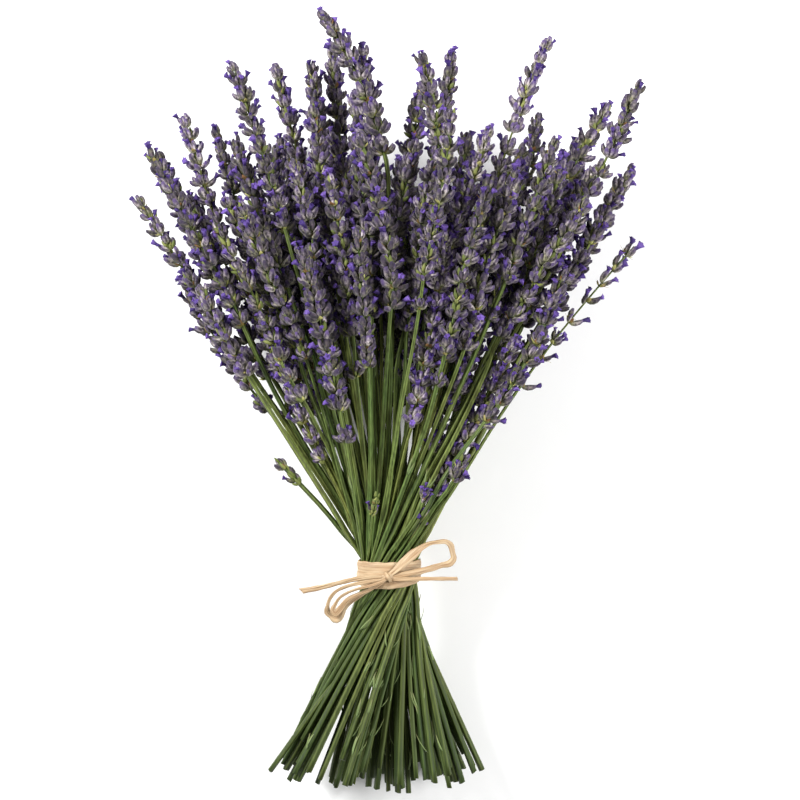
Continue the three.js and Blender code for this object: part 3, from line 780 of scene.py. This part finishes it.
KNOT_FOLDS = [
    [(-3.6, 0.2, 0.2, 1.8, 0), (-2.4, 1.0, 1.6, 2.4, 0), (-0.9, 2.2, 2.3, 2.7, 0),
     (0.8, 3.4, 1.7, 2.5, 0), (2.2, 4.4, 0.3, 1.9, 0)],
    [(-2.0, 4.3, 0.0, 1.6, 0), (-1.5, 3.5, 1.7, 2.1, 0), (-0.7, 2.3, 2.9, 2.2, 0),
     (0.2, 0.9, 2.1, 2.0, 0), (0.8, -0.3, 0.1, 1.5, 0)],
    [(-4.6, 2.7, 0.6, 1.5, 0), (-2.8, 2.5, 1.5, 1.9, 0), (-1.0, 2.0, 1.9, 2.0, 0),
     (1.2, 1.7, 1.4, 1.8, 0), (3.0, 1.6, 0.5, 1.4, 0)]]
ACROSS = np.concatenate([np.linspace(-1, 1, 9), np.linspace(1, -1, 9)])
FACE = np.repeat([1.0, -1.0], 9)     # 1 on a strip's outer face and -1 on its inner
PLEAT_LENGTH = 17
STRIP_STEP = 0.8


def arc_length(path):
    """How far along a path each of its points is."""
    return np.concatenate([[0], np.cumsum(np.linalg.norm(np.diff(path, axis=0), axis=1))])


def smooth_route(route, step=None, rows=None):
    """Rows along the smooth line through a route's points: so many, or about a step apart."""
    route = np.array(route, float)
    reach = arc_length(route[:, :3])
    return through(reach, route, np.linspace(0, reach[-1], rows or int(reach[-1] / step)))


def add_strip(part, path, width, turned, outward, tint, thickness=0.42, slant=0.0, closed=False):
    """A flat strip along a path. Its section has nine points across its outer face and nine across
    its inner. The faces are half a thickness from the path, times the square root of 1 minus nearly
    the fourth power of the place across, plus pleats that run along it as a sine of that place. The
    strip is cupped by the square of that place, and widens and narrows by a twentieth as it goes."""
    if closed:
        t = np.roll(path, -1, 0) - np.roll(path, 1, 0)
    else:
        t = np.gradient(path, axis=0)
    t /= np.linalg.norm(t, axis=1)[:, None]
    side = np.cross(t, outward)
    side /= np.linalg.norm(side, axis=1)[:, None]
    face = np.cross(side, t)
    turned = np.radians(turned)[:, None]
    side, face = np.cos(turned) * side + np.sin(turned) * face, np.cos(turned) * face - np.sin(turned) * side
    reach = arc_length(path)[:, None]
    wave = 2 * math.pi * np.round(reach[-1] / PLEAT_LENGTH) * reach / (reach[-1] + reach[1])
    pleat = np.sin(4.6 * ACROSS + wave + 9 * tint) * 0.05 * np.sqrt(width)[:, None]
    edge = width[:, None] * (1 + 0.05 * np.sin(2 * wave + 5 * tint)) / 2 * ACROSS
    depth = thickness / 2 * FACE * np.sqrt(1 - 0.96 * ACROSS**4) + pleat - 0.02 * width[:, None] * ACROSS**2
    body = path[:, None] + edge[..., None] * side[:, None] + depth[..., None] * face[:, None]
    if not closed:
        body[-1] += slant * ACROSS[:, None] * t[-1]
    along = np.broadcast_to(reach / 10, edge.shape)
    rows, around = edge.shape
    points, along, across = body.reshape(-1, 3), along.ravel(), edge.ravel()
    if closed:
        faces = ring_faces(rows, around)
    else:
        faces = tube_faces(rows, around)
        points = np.concatenate([points, body[:1].mean(1), body[-1:].mean(1)])
        along = np.append(along, [0, reach[-1, 0] / 10])
        across = np.append(across, [0, 0])
    part.add(points[None], faces, 0, along, across, tint)


def make_bow_strip(name, route, slant, raffia, tint):
    """One strip of the bow, along its route."""
    line = smooth_route(route, step=STRIP_STEP)
    path = line[:, :3] + BOW_ORIGIN
    part = Part()
    add_strip(part, path, line[:, 3], line[:, 4], UP, tint, slant=slant)
    piece = part.make(name, [raffia])
    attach(piece, "root")
    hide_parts(name)
    path[0] * MM
    (path * MM).tolist()


def make_band(raffia):
    """Two wraps round the stems, a narrow one that shows between them, and the knot over them. Each
    wrap follows an ellipse round the stems, and the lower one sags towards the cut ends in front."""
    part = Part()
    band_thickness = 0.8
    theta = np.linspace(0, 2 * math.pi, 120, endpoint=False)
    centre = BOW_ORIGIN - [0, 0, band_thickness] - [0, 0, BAND_INNER[1]]
    sag = np.clip(np.sin(theta), 0, 1) ** 1.4
    wraps = [  # where each lies along the bunch, its width, how proud of the stems it is, and its tint
        (1.7 - 3.5 * sag + 0.9 * np.cos(theta), 5.2 - 0.6 * sag, 0.42, 0.3),
        (6.5 - 0.5 * sag, 8.0 - 1.0 * sag + 0.4 * np.cos(theta), 0.62, 0.62),
        (3.4 - 0.6 * sag + 0.7 * np.cos(theta), 3.0 + 0 * sag, 0.98, 0.12)]
    for y, width, proud, tint in wraps:
        reach = BAND_INNER + proud
        path = centre + np.column_stack([reach[0] * np.cos(theta), y, reach[1] * np.sin(theta)])
        outward = np.column_stack([np.cos(theta) / reach[0], 0 * theta, np.sin(theta) / reach[1]])
        outward /= np.linalg.norm(outward, axis=1)[:, None]
        add_strip(part, path, width, 0 * theta, outward, tint, thickness=0.5, closed=True)
    for number, fold in enumerate(KNOT_FOLDS):
        line = smooth_route(fold, rows=22)
        add_strip(part, line[:, :3] + BOW_ORIGIN, line[:, 3], line[:, 4], UP,
                  tint=0.2 + 0.3 * number, thickness=0.7)
    piece = part.make("raffia_band", [raffia])
    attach(piece, "root")
    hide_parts("raffia_band")


# ---- The surface, the light and the camera ---------------------------------------------------

def add_area_light(name, place, target, size, power):
    """A square soft light at a place, aimed at a target, both in metres."""
    lamp = bpy.data.lights.new(name, "AREA")
    lamp.size = size
    lamp.energy = power
    light = bpy.data.objects.new(name, lamp)
    bpy.context.scene.collection.objects.link(light)
    offset = np.array(place) - np.array(target)
    light.location = place
    level = math.hypot(offset[0], offset[1])
    light.rotation_euler = (math.atan2(level, offset[2]), 0, math.atan2(offset[1], offset[0]) + math.pi / 2)


def add_floor():
    """The pale matt surface that the bunch lies on, five metres square."""
    half = 2.5
    corners = [(-half, -half, 0), (half, -half, 0), (half, half, 0), (-half, half, 0)]
    mesh = bpy.data.meshes.new("pale_surface")
    mesh.from_pydata(corners, [], [(0, 1, 2, 3)])
    f = Finish("pale_surface")
    grain = f.noise(0.05, 2.0)
    colour = f.mix(grain, rgb(251, 251, 251), rgb(254, 254, 254))
    mesh.materials.append(f.surface(colour, 0.8 + grain * 0.1))
    floor = bpy.data.objects.new("pale_surface", mesh)
    bpy.context.scene.collection.objects.link(floor)


def add_camera():
    """Straight above the bunch, with +Y up the picture. Its height above the point that it looks at,
    the width that it takes in and that point are in metres."""
    camera = bpy.data.cameras.new("camera")
    camera.sensor_width = 36
    distance, shown, middle = 1.7, 0.4075, (0.0061, 0.0043, 0.05)
    camera.lens = camera.sensor_width * distance / shown
    camera.clip_end = 20
    holder = bpy.data.objects.new("camera", camera)
    bpy.context.scene.collection.objects.link(holder)
    holder.location = (middle[0], middle[1], middle[2] + distance)
    bpy.context.scene.camera = holder


# ---- Setting the bunch out ------------------------------------------------------------------

BAND_INNER = np.array([15.56, 13.43])  # half the width and height of the stems in the band
BAND_UPPER_EDGE = 10.6     # from the middle of the tie to the band's edge on the spikes' side
KNOT_TOP = 2.75            # from the top of the band to the top of the knot
TIE_ABOVE_KNOT = 3         # from the knot to the waist's narrowest section
band_low, band_high = (np.array(corner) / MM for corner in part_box("raffia_band"))
cad_sprigs = [cad_sprig(node) for node in SPRIG_NODES]
BOW_ORIGIN = np.array([
    (band_low[0] + band_high[0]) / 2, band_high[1] - BAND_UPPER_EDGE, band_high[2] - KNOT_TOP])
TIE_Y = BOW_ORIGIN[1] + TIE_ABOVE_KNOT
stems_in_tie = np.array([follow(s["knots"], np.array([TIE_Y]))[0] for s in cad_sprigs])
tie_low, tie_high = stems_in_tie.min(0), stems_in_tie.max(0)
TIE = np.array([(tie_low[0] + tie_high[0]) / 2, TIE_Y, (tie_low[1] + tie_high[1]) / 2])
TIE_REACH = (tie_high - tie_low) / 2

PARTICULAR = {  # what sets a few of the frame's sprigs apart
    LOOSE_SPRIG: {"loose": True, "bloom": 0.6, "young": 0.0, "thick": 1.0, "tint": 0.3, "openness": 0.85},
    "sprig_21": {"young": 0.85, "bloom": 0.15, "thick": 0.8, "size": 0.72},
    "sprig_22": {"bloom": 0.7, "size": 0.8},
    "sprig_23": {"young": 0.4, "bloom": 0.1, "size": 0.95}}

raffia = raffia_finish()
add_camera()
for number, (name, route, width, far_end, slant) in enumerate(BOW):
    make_bow_strip(name, route, slant, raffia, 0.15 + 0.17 * number)
make_band(raffia)

sprigs = cad_sprigs + fill_sprigs(cad_sprigs, FILL_SPRIGS, np.random.default_rng(7))
lay_together(sprigs)

materials = [
    stem_finish(), calyx_finish(), flower_finish(), bract_finish(), bud_finish(), leaf_finish()]
for number, sprig in enumerate(sprigs, 1):
    rng = np.random.default_rng(100 + number)
    sprig["thick"] = STEM_RADIUS * rng.uniform(0.84, 1.12)
    # painted shade: the sprigs laid between the frame's own get a lower tint, which darkens them
    sprig["tint"] = rng.uniform(0.05, 0.95) * (1.0 if sprig["node"] else FILL_PAINTED_SHADE)
    sprig["size"] = rng.uniform(0.92, 1.08)
    sprig["openness"] = rng.uniform(0.88, 1.12)
    sprig["bloom"] = rng.uniform(0.01, 0.21)
    sprig["young"] = rng.choice([0.02, 0.06, 0.16])
    sprig["loose"] = False
    sprig.update(PARTICULAR.get(sprig["node"], {}))
    make_sprig(number, sprig, rng, materials)

add_floor()
add_area_light("key_light", place=(-1.2, 0.8, 1.05), target=(0, 0, 0.03), size=0.6, power=53)
add_area_light("fill_light", place=(1.25, 0.0, 1.05), target=(0, 0, 0.03), size=0.9, power=32)
world = bpy.data.worlds.new("studio")
world.use_nodes = True
world.node_tree.nodes["Background"].inputs["Color"].default_value = (1, 1, 1, 1)
world.node_tree.nodes["Background"].inputs["Strength"].default_value = 0.27
bpy.context.scene.world = world
bpy.context.scene.view_settings.view_transform = "Standard"
